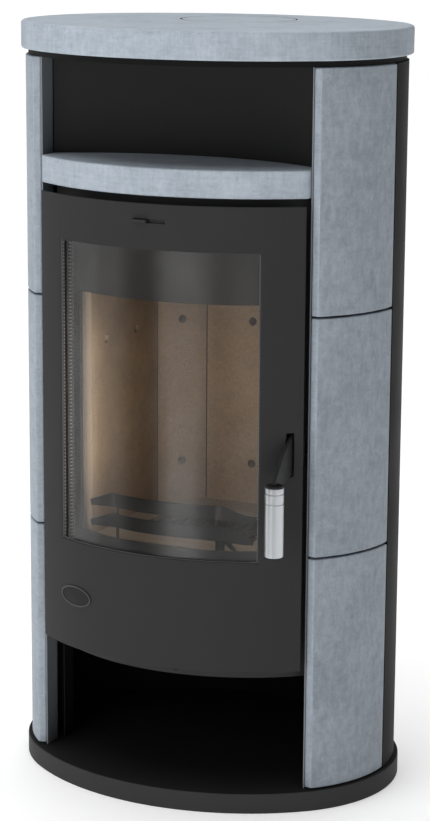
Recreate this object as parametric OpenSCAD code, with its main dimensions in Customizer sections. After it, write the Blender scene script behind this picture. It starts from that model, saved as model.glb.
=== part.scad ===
// Free-standing wood-burning stove with an oval plan: steel body, soapstone
// slab, shelf and side stones, curved glazed door, open log bay underneath.
// Origin: bottom centre of the base. Front faces -Y, up is +Z. Millimetres.

/* [Plan] */
// Half of the width of the oval plan
half_w = 306; // [300:1:320]
// Half of the depth of the oval plan
half_d = 240; // [236:1:250]
// Radius of the two side arcs of the oval
side_r = 205; // [200:1:210]
// Radius of the two end arcs of the slab
slab_end_r = 207.5; // [206:0.5:209]

/* [Heights] */
// Height of the base tray
base_h = 31; // [25:1:40]
// Underside of the front plate, where the log bay ends
bay_top = 200.4; // [190:0.2:210]
// Underside of the shelf stone
shelf_z0 = 931; // [928:1:935]
// Top of the shelf stone
shelf_z1 = 972; // [965:1:980]
// Underside of the top tray rim
top_z0 = 1119.5; // [1119.5:0.5:1121]
// Underside of the top slab
slab_z0 = 1128.5; // [1127:0.5:1130]
// Overall height
total_h = 1170; // [1165:1:1180]

/* [Stones] */
// Thickness of the side stones
stone_t = 30; // [25:1:30]
// Height of one side stone
stone_h = 360; // [350:1:360]
// Joint between two side stones
stone_gap = 3; // [2:0.5:4]
// Rounding of the slab edges
slab_round = 4; // [1:0.5:6]

/* [Door] */
// Outer radius of the curved door face
door_r = 359.8; // [359:0.1:361]
// Thickness of the door panel
door_t = 4; // [3:0.5:4]
// Left edge of the door
door_x0 = -213; // [-214:0.5:-210]
// Right edge of the door
door_x1 = 219.5; // [215:0.5:219.5]
// Bottom edge of the door
door_z0 = 220.9; // [219:0.1:224]
// Top edge of the door
door_z1 = 920.5; // [916:0.5:922]
// Half of the width of the window in the door
win_x = 163; // [155:1:164]
// Bottom edge of the window
win_z0 = 391; // [390:1:395]
// Top edge of the window
win_z1 = 853; // [845:1:854]

/* [Firebox] */
// Half of the inner width between the side bricks
fire_x = 141; // [135:1:141]
// Rear face of the fire chamber
fire_y1 = 149; // [140:1:150]
// Thickness of the firebricks
brick_t = 25; // [20:1:25]
// Top of the hearth floor
floor_z = 385; // [380:1:388]
// Half of the width of the feed opening in the front plate
mouth_x = 161.5; // [150:0.5:163]
// Sill height of the feed opening
mouth_z0 = 397.5; // [395:0.5:400]
// Lintel height of the feed opening
mouth_z1 = 771; // [760:1:775]

/* [Handle] */
// Diameter of the grip
grip_d = 28.2; // [24:0.2:28.4]
// Length of the grip
grip_l = 101; // [90:1:105]
// Thickness of the lever plate
lever_t = 5; // [4:0.5:6]

/* [Flue] */
// Outer diameter of the flue spigot
flue_d = 149; // [145:0.5:150]
// Distance of the flue axis behind the centre
flue_y = 85; // [80:1:88]
// Outer diameter of the outside-air spigot
air_d = 99; // [95:0.5:100]

/* [Hidden] */
$fn = 144;

// four-centre oval: side arcs about (+-side_c, 0), long arcs about (0, -+big_c)
side_c = half_w - side_r;
big_c = (side_c * side_c - (half_d - side_r) * (half_d - side_r)) / (2 * (half_d - side_r));
big_r = half_d + big_c;
junct = atan2(side_c, big_c);          // half angle of a long arc

// curved front of the body and door, all about one axis
cy = 127.1;                            // distance of that axis behind the centre
plate_r = 321;                         // outer radius of the front plate
plate_t = 5;
fr_x = 213;                            // half width of the front plate

// casing
stone_out = side_r - 6.3;              // outer radius of the side stones
stone_in = stone_out - stone_t;
shell_out = -6.7;                      // parallel distance of the rear shell
shell_t = 3;
stone_a1 = -3.75;                      // rear end of the stones on the side arc
flange_x = 220.5;                      // inner face of the side panels' front flange
zs = [for (i = [0:2]) base_h + 2 + i * (stone_h + stone_gap)];

// hinge axis of the door, two knuckles
hx = -203.5; hy = -156;
hinge_z = [290, 830];                  // bottom of each knuckle
knuckle_h = 40;
pin_r = 4; bore_r = 4.05;

// handle
lx = 203;                              // middle plane of the lever
py = -150; pz = 567;                   // pivot of the lever
gy = -225;                             // axis of the grip
grip_z1 = 515.4;

// ---------- helpers ----------

// ring sector about a vertical axis
module ring(c, r0, r1, a0, a1, z0, z1)
  translate([c[0], c[1], 0]) rotate([0, 0, a0])
    rotate_extrude(angle = a1 - a0)
      translate([r0, z0]) square([r1 - r0, z1 - z0]);

// curved wall on the front axis between two widths, measured at the outer radius
module front_wall(r0, r1, x0, x1, z0, z1)
  ring([0, cy], r0, r1, -90 + asin(x0 / r1), -90 + asin(x1 / r1), z0, z1);

// y of the front arc of radius r at x
function fy(r, x) = cy - sqrt(r * r - x * x);

// profile of a slab edge from the axis to radius r, with rounded corners
function arc_pts(cx, cz, f, a0, a1, n) =
  [for (i = [0:n]) let(a = a0 + (a1 - a0) * i / n) [cx + f * cos(a), cz + f * sin(a)]];
function slab_profile(r, z0, z1, f0, f1) = concat([[0, z0]],
  arc_pts(r - f0, z0 + f0, f0, -90, 0, 4), arc_pts(r - f1, z1 - f1, f1, 0, 90, 4), [[0, z1]]);

// solid oval plate at parallel distance d
module oval(d, z0, z1) {
  module pie(c, r, a0, a1)
    translate([c[0], c[1], 0]) rotate([0, 0, a0]) rotate_extrude(angle = a1 - a0)
      translate([0, z0]) square([r, z1 - z0]);
  pie([0, big_c], big_r + d, -90 - junct, -90 + junct);
  pie([0, -big_c], big_r + d, 90 - junct, 90 + junct);
  pie([side_c, 0], side_r + d, -90 + junct, 90 - junct);
  pie([-side_c, 0], side_r + d, 90 + junct, 270 - junct);
}

// rim of an oval between two parallel distances
module oval_rim(d0, d1, z0, z1) {
  ring([0, big_c], big_r + d0, big_r + d1, -90 - junct, -90 + junct, z0, z1);
  ring([0, -big_c], big_r + d0, big_r + d1, 90 - junct, 90 + junct, z0, z1);
  ring([side_c, 0], side_r + d0, side_r + d1, -90 + junct, 90 - junct, z0, z1);
  ring([-side_c, 0], side_r + d0, side_r + d1, 90 + junct, 270 - junct, z0, z1);
}

// ring sector and oval outline in the plane
module ring2(c, r0, r1, a0, a1) let(m = (a0 + a1) / 2, q = 2 * r1) translate(c) intersection() {
  difference() { circle(r1); circle(r0); }
  polygon([[0, 0], [q * cos(a0), q * sin(a0)], [q * cos((a0 + m) / 2), q * sin((a0 + m) / 2)],
    [q * cos(m), q * sin(m)], [q * cos((m + a1) / 2), q * sin((m + a1) / 2)], [q * cos(a1), q * sin(a1)]]);
}

// disc with rounded edges, as thick as the slab
module slab_disc(x, y, r) translate([x, y, 0]) rotate_extrude()
  polygon(slab_profile(r, slab_z0, total_h, 3, slab_round));

module prism(pts, z0, z1) translate([0, 0, z0]) linear_extrude(z1 - z0) polygon(pts);
module box(a, b) translate(a) cube([b[0] - a[0], b[1] - a[1], b[2] - a[2]]);
module cyl(c, r, z0, z1) translate([c[0], c[1], z0]) cylinder(h = z1 - z0, r = r);
module ycyl(x, z, r, y0, y1) translate([x, y1, z]) rotate([90, 0, 0]) cylinder(h = y1 - y0, r = r);
module xcyl(y, z, r, x0, x1) translate([x0, y, z]) rotate([0, 90, 0]) cylinder(h = x1 - x0, r = r);
// plate in a plane of constant x, from its outline in (y, z)
module xplate(pts, x0, x1) translate([x0, 0, 0]) rotate([90, 0, 90]) linear_extrude(x1 - x0) polygon(pts);
module left() mirror([1, 0, 0]) children();

// ---------- base and casing ----------

module base_tray() color([0.2, 0.2, 0.2]) {
  difference() {
    oval(0, 0, base_h);
    oval(-4, 4, base_h - 4);
    for (x = [-160, 160], y = [-95, 95]) cyl([x, y], 15.3, -1, 10);
  }
}

module levelling_feet() color([0.35, 0.35, 0.35])
  for (x = [-160, 160], y = [-95, 95]) {
    cyl([x, y], 15, 0, 8);
    cyl([x, y], 5, 8, base_h - 4);
  }

module frame_post() {
  box([fr_x - 2, -103.5, base_h], [fr_x, -75, top_z0]);
  box([fr_x, -77, base_h], [238, -75, top_z0]);
}
module frame_post_right() color([0.22, 0.22, 0.22]) frame_post();
module frame_post_left() color([0.22, 0.22, 0.22]) left() frame_post();

module side_panel() {
  translate([0, 0, base_h]) linear_extrude(top_z0 - base_h) {
    ring2([side_c, 0], stone_in - 2.3, stone_in - 0.3, -44, -4.2);
    translate([flange_x, -143.5]) square([2, 32.5]);
  }
}
module side_panel_right() color([0.2, 0.2, 0.2]) side_panel();
module side_panel_left() color([0.2, 0.2, 0.2]) left() side_panel();

module rear_shell() color([0.16, 0.16, 0.16]) difference() {
  translate([0, 0, base_h]) linear_extrude(top_z0 - base_h) {
    ring2([0, -big_c], big_r + shell_out - shell_t, big_r + shell_out, 90 - junct, 90 + junct);
    for (s = [0, 1]) mirror([s, 0]) {
      ring2([side_c, 0], side_r + shell_out - shell_t, side_r + shell_out, -3.15, 90 - junct);
      ring2([side_c, 0], stone_in - 1, side_r + shell_out, -3.15, -2.4);
    }
  }
  ycyl(0, 293, 60, 200, 260);
  ycyl(0, 1010, 78, 200, 260);
  for (x = [-90:20:90])
    box([x - 4, 180, 208], [x + 4, 260, 228]);
  for (x = [-130, -110, 110, 130])
    box([x - 4, 150, 985], [x + 4, 260, 1050]);
}

module rear_heat_shield() color([0.5, 0.5, 0.5]) difference() {
  box([-128, 194, 240], [128, 196, 900]);
  ycyl(0, 293, 56, 190, 200);
}

module bay_roof() color([0.15, 0.15, 0.15]) difference() {
  intersection() {
    oval(-stone_t - 9.5, bay_top, bay_top + 3);
    cyl([0, cy], plate_r - plate_t - 0.2, bay_top - 1, bay_top + 5);
  }
  for (s = [-1, 1]) box([s * 226 - 16, -107, bay_top - 2], [s * 226 + 16, -73, bay_top + 6]);
}

module front_plate() color([0.2, 0.2, 0.2]) difference() {
  front_wall(plate_r - plate_t, plate_r, -fr_x, fr_x, bay_top, 927);
  front_wall(plate_r - 20, plate_r + 20, -mouth_x, mouth_x, mouth_z0, mouth_z1);
  front_wall(plate_r - 20, plate_r + 20, -140, 140, 228, 345);
}

module air_deflector() color([0.25, 0.25, 0.25])
  front_wall(plate_r + 0.2, plate_r + 2.7, -154, 154, mouth_z1 + 5, 858);

module niche_back() color([0.13, 0.13, 0.13])
  ring([0, -456], 408, 410, 90 - asin(219.6 / 410), 90 + asin(219.6 / 410), 931, top_z0);

module top_tray() color([0.08, 0.08, 0.08]) difference() {
  union() {
    oval(-10.5, slab_z0 - 3, slab_z0);
    oval_rim(-13.5, -10.5, top_z0, slab_z0 - 3);
  }
  cyl([0, flue_y], 80, top_z0 - 1, slab_z0 + 1);
}

module casing_screws() color([0.3, 0.3, 0.3]) {
  for (s = [0, 1], z = [90, 560, 1060]) mirror([s, 0, 0])
    for (a = [31, 49]) translate([side_c, 0, z]) rotate([0, 90, a])
      translate([0, 0, side_r + shell_out + 0.06]) {
        cylinder(h = 1.4, r = 4.2, $fn = 48);
        translate([0, 0, 1.4]) cylinder(h = 0.9, r = 3, $fn = 48);
      }
  for (a = [45, 135, 225, 315])
    translate([92 * cos(a), 0, 1010 + 92 * sin(a)])
      ycyl(0, 0, 3.6, sqrt(pow(big_r + shell_out + 2.1, 2) - 61.4 * 61.4) - big_c + 0.02, 232.6);
  // head of the transport screw under the door
  translate([0, cy, 207]) rotate([0, 0, -90 + asin(30 / plate_r)]) rotate([0, 90, 0])
    translate([0, 0, plate_r + 0.02]) cylinder(h = 1.6, r = 2.3, $fn = 48);
}

// ---------- firebox ----------

// outline of the fire chamber pushed outwards by d, open front at y0
function fire_pts(d, y0) = let(m = tan(22.5) * d, k = fire_x - 60)
  [[fire_x + d, y0], [fire_x + d, fire_y1 - 60 + m], [k + m, fire_y1 + d],
   [-k - m, fire_y1 + d], [-fire_x - d, fire_y1 - 60 + m], [-fire_x - d, y0]];

module firebox_shell() color([0.3, 0.3, 0.3]) intersection() {
  difference() {
    prism(fire_pts(brick_t + 5, -200), 354, 900);
    prism(fire_pts(brick_t + 1, -210), 358, 896);
    box([-95, -85, 350], [95, 85, 360]);
    cyl([0, flue_y], flue_d / 2 - 3, 890, 910);
    for (z = [686, 451]) { ycyl(0, z, 7, 160, 200); }
  }
  cyl([0, cy], plate_r - plate_t - 0.1, 340, 910);
}

module side_brick() difference() {
  prism([[fire_x, -139.5], [fire_x + brick_t, -139.5],
         [fire_x + brick_t, fire_y1 - 60 + tan(22.5) * brick_t], [fire_x, fire_y1 - 60]],
        floor_z - 25, 800);
  for (y = [-90.6, 12.6]) xcyl(y, 686, 7, fire_x - 5, fire_x + brick_t + 5);
}
module side_brick_right() color([0.72, 0.6, 0.45]) side_brick();
module side_brick_left() color([0.72, 0.6, 0.45]) left() side_brick();

module corner_brick() let(m = tan(22.5) * brick_t, k = fire_x - 60) difference() {
  prism([[fire_x, fire_y1 - 60 + 0.4], [fire_x + brick_t, fire_y1 - 60 + m + 0.4],
         [k + m + 0.4, fire_y1 + brick_t], [k + 0.4, fire_y1]], floor_z - 25, 800);
  for (z = [686, 451]) translate([fire_x - 30, fire_y1 - 30, z]) rotate([0, 90, 45])
    translate([0, 0, -15]) cylinder(h = 60, r = 7);
}
module corner_brick_right() color([0.7, 0.58, 0.43]) corner_brick();
module corner_brick_left() color([0.7, 0.58, 0.43]) left() corner_brick();

module rear_brick() color([0.7, 0.59, 0.42]) let(m = tan(22.5) * brick_t, k = fire_x - 60) difference() {
  prism([[-k, fire_y1], [k, fire_y1], [k + m, fire_y1 + brick_t], [-k - m, fire_y1 + brick_t]],
        floor_z - 25, 800);
  for (z = [686, 451]) ycyl(0, z, 7, fire_y1 - 5, fire_y1 + brick_t + 5);
}

module smoke_baffle() color([0.7, 0.6, 0.46]) let(k = fire_x - 60)
  prism([[fire_x + 20, -80], [fire_x + 20, fire_y1 - 50], [k + 12, fire_y1 + 18],
         [-k - 12, fire_y1 + 18], [-fire_x - 20, fire_y1 - 50], [-fire_x - 20, -80]], 800.3, 825);

module floor_bricks() color([0.6, 0.52, 0.42]) let(z0 = floor_z - 25, z1 = floor_z, i = fire_x - 0.5, k = fire_x - 60) {
  box([-i, -139.5, z0], [i, -91, z1]);
  box([-i, -90.5, z0], [-101, 88, z1]);
  box([101, -90.5, z0], [i, 88, z1]);
  prism([[-100.5, 91], [100.5, 91], [100.5, fire_y1 - 20 ], [k, fire_y1 - 0.5], [-k, fire_y1 - 0.5], [-100.5, fire_y1 - 20]], z0, z1);
}

module fire_grate() color([0.18, 0.18, 0.18]) difference() {
  box([-100, -90, floor_z - 22], [100, 90, floor_z - 6]);
  for (i = [-4:4]) for (s = [-1, 1])
    box([i * 20 - 5, s > 0 ? 6 : -78, floor_z - 40], [i * 20 + 5, s > 0 ? 78 : -6, floor_z]);
}

module firebox_sill() color([0.22, 0.22, 0.22]) intersection() {
  box([-166, -200, floor_z - 5], [166, -140, floor_z - 0.5]);
  cyl([0, cy], plate_r - plate_t - 0.2, 300, 500);
}

module ash_box() color([0.28, 0.28, 0.28]) intersection() {
  difference() {
    box([-140, -220, 226], [140, 112, 353.8]);
    box([-138, -230, 228], [138, 110, 360]);
    ycyl(0, 293, 46.5, 100, 120);
  }
  cyl([0, cy], plate_r - plate_t - 0.1, 220, 360);
}

module ash_pan() color([0.45, 0.45, 0.45]) {
  difference() {
    box([-126, -156, 229], [126, 98, 300]);
    box([-124.5, -154.5, 230.5], [124.5, 96.5, 310]);
  }
  difference() {
    box([-45, -172, 280], [45, -156, 284]);
    box([-37, -168, 270], [37, -150, 290]);
  }
}

// bar of the log guard: lower edge z, laid on the arc
module guard_bar(z) intersection() {
  ring([0, cy], 307, 310, -125, -55, 380, 480);
  translate([0, 0, z]) rotate([90, 0, 0]) linear_extrude(260)
    polygon([[-90, 0], [90, 0], [129, -5], [136, -7], [139, 2.5], [93, 21.4], [-93, 21.4], [-139, 2.5], [-136, -7], [-129, -5]]);
}
module guard_leg() translate([83, fy(307, 83) + 0.6, 0]) rotate([0, 0, atan2(28.5, 13)]) rotate([90, 0, 0])
  translate([0, 0, -1.5]) linear_extrude(3)
    polygon([[0.5, floor_z - 0.4], [17, floor_z - 0.4], [17, 402], [36, floor_z + 0.1], [43, floor_z + 0.1], [17, 417], [17, 460], [0.5, 460]]);
module log_guard() color([0.12, 0.12, 0.13]) {
  guard_bar(442.6);
  guard_bar(410.8);
  guard_leg();
  left() guard_leg();
}

module flue_collar() color([0.14, 0.14, 0.14]) difference() {
  union() {
    cyl([0, flue_y], 88, 900.1, 906);
    cyl([0, flue_y], flue_d / 2, 906, 1112);
  }
  cyl([0, flue_y], flue_d / 2 - 3, 890, 1120);
}

module air_spigot() color([0.4, 0.4, 0.4]) difference() {
  union() {
    ycyl(0, 293, 58, 112.1, 115);
    ycyl(0, 293, air_d / 2, 115, 239);
  }
  ycyl(0, 293, air_d / 2 - 3, 100, 250);
}

module rear_outlet_cover() color([0.17, 0.17, 0.17]) intersection() {
  ring([0, -big_c], big_r + shell_out + 0.1, big_r + shell_out + 2.1, 60, 120, 900, 1110);
  ycyl(0, 1010, 100, 200, 260);
}

// ---------- stones ----------

module side_stone(z) intersection() {
  ring([side_c, 0], stone_in, stone_out, -52, stone_a1, z, z + stone_h);
  prism([[222.9, -144], [235, -147], [280, -158.2], [330, -150], [330, 20], [222.9, 20]], z - 1, z + stone_h + 1);
}
module stone_right_bottom() color([0.52, 0.56, 0.6]) side_stone(zs[0]);
module stone_right_middle() color([0.54, 0.58, 0.62]) side_stone(zs[1]);
module stone_right_top() color([0.53, 0.57, 0.61]) side_stone(zs[2]);
module stone_left_bottom() color([0.64, 0.68, 0.72]) left() side_stone(zs[0]);
module stone_left_middle() color([0.65, 0.69, 0.73]) left() side_stone(zs[1]);
module stone_left_top() color([0.66, 0.7, 0.74]) left() side_stone(zs[2]);

module stone_pads() color([0.15, 0.15, 0.15])
  for (s = [0, 1], a = [-38, -12]) mirror([s, 0, 0]) {
    ring([side_c, 0], stone_in + 8, stone_out - 8, a - 2, a + 2, base_h, base_h + 2);
    for (i = [0, 1])
      ring([side_c, 0], stone_in + 8, stone_out - 8, a - 2, a + 2, zs[i] + stone_h, zs[i + 1]);
  }

module shelf_stone() color([0.68, 0.72, 0.76]) difference() {
  intersection() {
    ring([0, big_c], 100, big_r - 13.5, -140, -40, shelf_z0, shelf_z1);
    box([-flange_x + 0.5, -260, shelf_z0 - 1], [flange_x - 0.5, -20, shelf_z1 + 1]);
  }
  cyl([0, -456], 407.6, 0, 0.1);
  // rear edge follows the concave back of the niche
  difference() {
    box([-300, -200, shelf_z0 - 5], [300, 100, shelf_z1 + 5]);
    cyl([0, -456], 407.6, shelf_z0 - 10, shelf_z1 + 10);
  }
}

module shelf_support() color([0.15, 0.15, 0.15]) intersection() {
  ring([0, cy], 150, 312, -140, -40, 927.2, 930.8);
  box([-208, -260, 900], [208, -48, 940]);
  cyl([0, -456], 407.6, 900, 940);
}

// two long arcs cut off by tighter end arcs, which leaves four faint corners
module top_slab() color([0.7, 0.74, 0.78]) difference() {
  intersection() {
    slab_disc(0, big_c, big_r);
    slab_disc(0, -big_c, big_r);
    union() {
      box([-243, -300, slab_z0 - 10], [243, 300, total_h + 10]);
      slab_disc(half_w - slab_end_r, 0, slab_end_r);
      slab_disc(slab_end_r - half_w, 0, slab_end_r);
    }
  }
  cyl([0, flue_y], 90, total_h - 20, total_h + 5);
  cyl([0, flue_y], 80, slab_z0 - 5, total_h);
}

module flue_cover_disc() color([0.7, 0.74, 0.78])
  translate([0, flue_y, 0]) rotate_extrude()
    polygon(slab_profile(88.8, total_h - 19.7, total_h, 1, 1.5));

// ---------- door ----------

module door_panel() color([0.22, 0.22, 0.22]) difference() {
  front_wall(door_r - door_t, door_r, door_x0, door_x1, door_z0, door_z1);
  front_wall(door_r - 20, door_r + 0.001, -win_x, win_x, win_z0, win_z1);
  front_wall(door_r - 20, door_r + 0.001, -23, 28, 892.5, 898);
  box([197.8, -200, 521.5], [208.2, -120, 587.5]);
}

module door_frame() color([0.15, 0.15, 0.15]) let(rb = door_r - door_t) {
  difference() {
    front_wall(335, rb, -186, 186, 358, 884);
    front_wall(320, rb + 5, -182.5, 182.5, 361, 881);
  }
  difference() {
    front_wall(335, 338, -182, 182, 360, 882);
    front_wall(320, 345, -171, 171, 376, 866);
  }
}

module door_glass() color([0.35, 0.3, 0.28, 0.35])
  front_wall(350, 354, -175, 175, 379, 866);

module glass_gasket() color([0.5, 0.5, 0.48]) difference() {
  front_wall(354, door_r - door_t, -175, 175, 379, 866);
  front_wall(340, 360, -win_x + 0.4, win_x - 0.4, win_z0 + 0.4, win_z1 - 0.4);
}

module glass_clips() color([0.4, 0.4, 0.4]) {
  for (s = [0, 1], z = [430, 610, 790]) mirror([s, 0, 0]) {
    front_wall(347.5, 349.9, 163, 176.2, z, z + 24);
    front_wall(349.9, door_r - door_t - 0.1, 176.7, 179.1, z, z + 24);
  }
  for (x = [-110, 110]) {
    front_wall(347.5, 349.9, x - 14, x + 14, 858, 871);
    front_wall(349.9, door_r - door_t - 0.1, x - 14, x + 14, 867.5, 871);
    front_wall(347.5, 349.9, x - 14, x + 14, 374, 386);
    front_wall(349.9, door_r - door_t - 0.1, x - 14, x + 14, 374, 377.5);
  }
}

module door_seal() color([0.6, 0.6, 0.58]) difference() {
  front_wall(plate_r + 0.6, 335, -177.2, 177.2, 364.5, 879.5);
  front_wall(300, 350, -171.3, 171.3, 377.5, 866.5);
}

module hinge_knuckles() color([0.25, 0.25, 0.25])
  for (z = hinge_z) difference() {
    union() {
      cyl([hx, hy], 6.5, z, z + knuckle_h);
      ring([0, cy], 349, door_r - door_t - 0.1, -90 - asin(204 / 355), -90 - asin(189 / 355), z, z + knuckle_h);
    }
    cyl([hx, hy], bore_r, z - 1, z + knuckle_h + 1);
  }

// arms fixed to the front plate, one under each knuckle
module hinge_brackets() color([0.2, 0.2, 0.2])
  for (z = hinge_z) {
    difference() {
      union() {
        cyl([hx, hy], 6.5, z - 5.5, z - 0.5);
        intersection() {
          translate([hx, hy, 0]) rotate([0, 0, 58]) box([0, -8, z - 5.5], [40, 0, z - 0.5]);
          difference() {
            cyl([hx, hy], 60, z - 6, z);
            cyl([0, cy], plate_r, z - 10, z + 10);
          }
        }
      }
      cyl([hx, hy], pin_r, z - 8, z + 2);
    }
    ring([0, cy], plate_r, plate_r + 4, -90 - asin(201 / 325), -90 - asin(184 / 325), z - 22, z - 5.5);
  }

module hinge_pins() color([0.6, 0.6, 0.6])
  for (z = hinge_z) cyl([hx, hy], pin_r, z - 5.5, z + knuckle_h - 8);

module latch_keeper() color([0.25, 0.25, 0.25]) {
  for (x = [193, 210]) difference() {
    box([x, -142, 535], [x + 3, -105, 552]);
    cyl([0, cy], plate_r + 0.05, 530, 560);
  }
  xcyl(-136, 544, 3.5, 196, 210);
}

module lever_bracket() color([0.2, 0.2, 0.2]) let(rb = door_r - door_t - 0.1) {
  difference() {
    front_wall(rb - 3, rb, 189, 216.5, 506, 603);
    box([196.8, -220, 517], [209.2, -100, 592]);
    xcyl(py, pz, pin_r, 180, 230);
  }
  difference() {
    intersection() {
      union() {
        box([191, -175, 553], [194, -141, 581]);
        box([211.2, -165, 553], [214.2, -141, 581]);
      }
      cyl([0, cy], rb - 1, 540, 600);
    }
    xcyl(py, pz, pin_r, 180, 230);
  }
}

module lever_axle() color([0.65, 0.65, 0.65]) {
  xcyl(py, pz, pin_r, 191, 214.2);
  xcyl(py, pz, 6, 188.5, 190.9);
}

module slider_guides() color([0.2, 0.2, 0.2]) let(rb = door_r - door_t - 0.05)
  {
    front_wall(rb - 4.5, rb, -70, 70, 884.3, 886.2);
    front_wall(rb - 6.1, rb - 4.1, -70, 70, 884.3, 888.6);
    front_wall(rb - 4.5, rb, -70, 70, 905.5, 907.4);
    front_wall(rb - 6.1, rb - 4.1, -70, 70, 903.1, 907.4);
  }

module badge_plate() color([0.1, 0.1, 0.1]) let(c = [-134, 305], n = 48) intersection() {
  ring([0, cy], door_r + 0.1, door_r + 1.8, -125, -100, 270, 340);
  difference() {
    translate([c[0], 0, c[1]]) rotate([90, 0, 0]) linear_extrude(300)
      polygon([for (i = [0:n - 1]) [31.5 * cos(i * 360 / n), 16 * sin(i * 360 / n)]]);
    intersection() {
      translate([c[0], 0, c[1]]) rotate([90, 0, 0]) linear_extrude(300)
        polygon([for (i = [0:n - 1]) [29.7 * cos(i * 360 / n), 14.2 * sin(i * 360 / n)]]);
      ring([0, cy], door_r + 1, door_r + 9, -127, -98, 270, 340);
    }
  }
}

module handle_lever() color([0.09, 0.09, 0.09]) difference() {
  union() {
    xplate([[-168.5, 580.2], [-182, 571.2], [-195.6, 560.6], [-211, 545], [-229, 524.6],
            [-229, 521.9], [-213, 521.9], [-208.5, 519.5], [-194, 517.5], [-168, 524.5],
            [-160, 528], [-150, 531], [-149, 529], [-126.4, 529], [-126.4, 539.4], [-131.2, 539.4],
            [-132.4, 535], [-140, 535], [-143, 560], [-150, 585]], lx - lever_t / 2, lx + lever_t / 2);
    xcyl(py, pz, 21.5, lx - lever_t / 2, lx + lever_t / 2);
  }
  xcyl(py, pz, bore_r, 190, 220);
}

module handle_collar() color([0.05, 0.05, 0.05])
  cyl([lx, gy], 12.4, grip_z1, 521.9);

module handle_grip() color([0.78, 0.79, 0.8]) let(r = grip_d / 2)
  translate([lx, gy, 0]) rotate_extrude()
    polygon([[0, grip_z1 - grip_l], [r - 1.2, grip_z1 - grip_l], [r, grip_z1 - grip_l + 1.2],
             [r, 490.2], [r - 0.8, 490.2], [r - 0.8, 491.7], [r, 491.7],
             [r, 505], [r - 0.8, 505], [r - 0.8, 506.5], [r, 506.5],
             [r, grip_z1 - 0.6], [r - 0.6, grip_z1], [0, grip_z1]]);

module air_slider() color([0.24, 0.24, 0.24]) let(rb = door_r - door_t) {
  front_wall(rb - 3.6, rb - 0.5, -58, 40, 886.6, 905.1);
  front_wall(rb - 1, door_r + 7, -22.4, 0.8, 893.1, 897.3);
}

// ---------- placement ----------

base_tray();
levelling_feet();
frame_post_left();
frame_post_right();
side_panel_left();
side_panel_right();
rear_shell();
rear_heat_shield();
bay_roof();
front_plate();
air_deflector();
firebox_shell();
ash_box();
ash_pan();
firebox_sill();
fire_grate();
floor_bricks();
side_brick_left();
side_brick_right();
corner_brick_left();
corner_brick_right();
rear_brick();
smoke_baffle();
log_guard();
flue_collar();
air_spigot();
rear_outlet_cover();
niche_back();
shelf_support();
shelf_stone();
stone_left_bottom();
stone_left_middle();
stone_left_top();
stone_right_bottom();
stone_right_middle();
stone_right_top();
stone_pads();
top_tray();
top_slab();
hinge_brackets();
hinge_pins();
latch_keeper();
casing_screws();
door_panel();
door_frame();
door_glass();
glass_gasket();
glass_clips();
door_seal();
hinge_knuckles();
lever_bracket();
lever_axle();
slider_guides();
badge_plate();
handle_lever();
handle_collar();
handle_grip();
air_slider();
flue_cover_disc();
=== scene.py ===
import math
from math import asin, atan2, cos, degrees, pi, radians, sin, sqrt

import bmesh
import bpy
from mathutils import Matrix, Vector


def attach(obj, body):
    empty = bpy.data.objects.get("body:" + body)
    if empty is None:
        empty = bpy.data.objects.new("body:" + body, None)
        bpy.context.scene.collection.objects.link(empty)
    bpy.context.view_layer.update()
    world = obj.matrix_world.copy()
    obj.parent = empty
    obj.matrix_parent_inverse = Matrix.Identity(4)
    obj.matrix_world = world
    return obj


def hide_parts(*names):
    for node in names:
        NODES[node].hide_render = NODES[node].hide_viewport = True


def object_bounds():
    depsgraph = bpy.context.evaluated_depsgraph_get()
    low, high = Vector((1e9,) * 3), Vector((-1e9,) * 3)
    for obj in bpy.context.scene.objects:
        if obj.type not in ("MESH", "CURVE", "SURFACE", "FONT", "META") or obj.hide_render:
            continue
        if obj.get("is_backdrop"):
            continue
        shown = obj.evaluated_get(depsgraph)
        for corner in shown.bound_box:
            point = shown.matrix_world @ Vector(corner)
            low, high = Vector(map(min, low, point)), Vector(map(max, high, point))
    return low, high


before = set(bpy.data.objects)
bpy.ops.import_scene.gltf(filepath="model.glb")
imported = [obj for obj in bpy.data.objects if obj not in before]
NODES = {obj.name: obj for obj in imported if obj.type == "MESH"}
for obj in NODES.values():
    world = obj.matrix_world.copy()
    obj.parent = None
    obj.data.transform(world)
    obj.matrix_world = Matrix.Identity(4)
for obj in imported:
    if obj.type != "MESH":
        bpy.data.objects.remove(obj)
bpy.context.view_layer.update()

scene = bpy.context.scene

# ---------------------------------------------------------------- plan, in mm
SC, SR = 101.0, 205.0
BC = (SC * SC - 35.0 * 35.0) / 70.0
BR = 240.0 + BC
J = degrees(atan2(SC, BC))
CY = 127.1
PLATE_R = 321.0
DOOR_R, DOOR_T = 359.8, 4.0
H = 1170.0
FLUE_Y = 85.0
MM = 0.001
# light levels
CEILING, HORIZON, ROOM, TOP, FRONT, HIGH, RIGHT, LAMP, NEAR, GLOW = 0.95, 0.02, 0.0, 1.66, 22.4, 11.6, 2.1, 0.15, 0.16, 0.20


def oval(t, d):
    """Point of the oval outline whose outward normal points at t degrees, moved outwards by d."""
    t %= 360.0
    if t < 90 - J or t > 270 + J:
        c, r = (SC, 0.0), SR
    elif t < 90 + J:
        c, r = (0.0, -BC), BR
    elif t < 270 - J:
        c, r = (-SC, 0.0), SR
    else:
        c, r = (0.0, BC), BR
    return c[0] + (r + d) * cos(radians(t)), c[1] + (r + d) * sin(radians(t))


def oval_angles(side=56, long=84):
    out = []
    a = -(90 - J)
    for span, n in ((2 * (90 - J), side), (2 * J, long), (2 * (90 - J), side), (2 * J, long)):
        out += [a + span * i / n for i in range(n)]
        a += span
    return out


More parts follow.
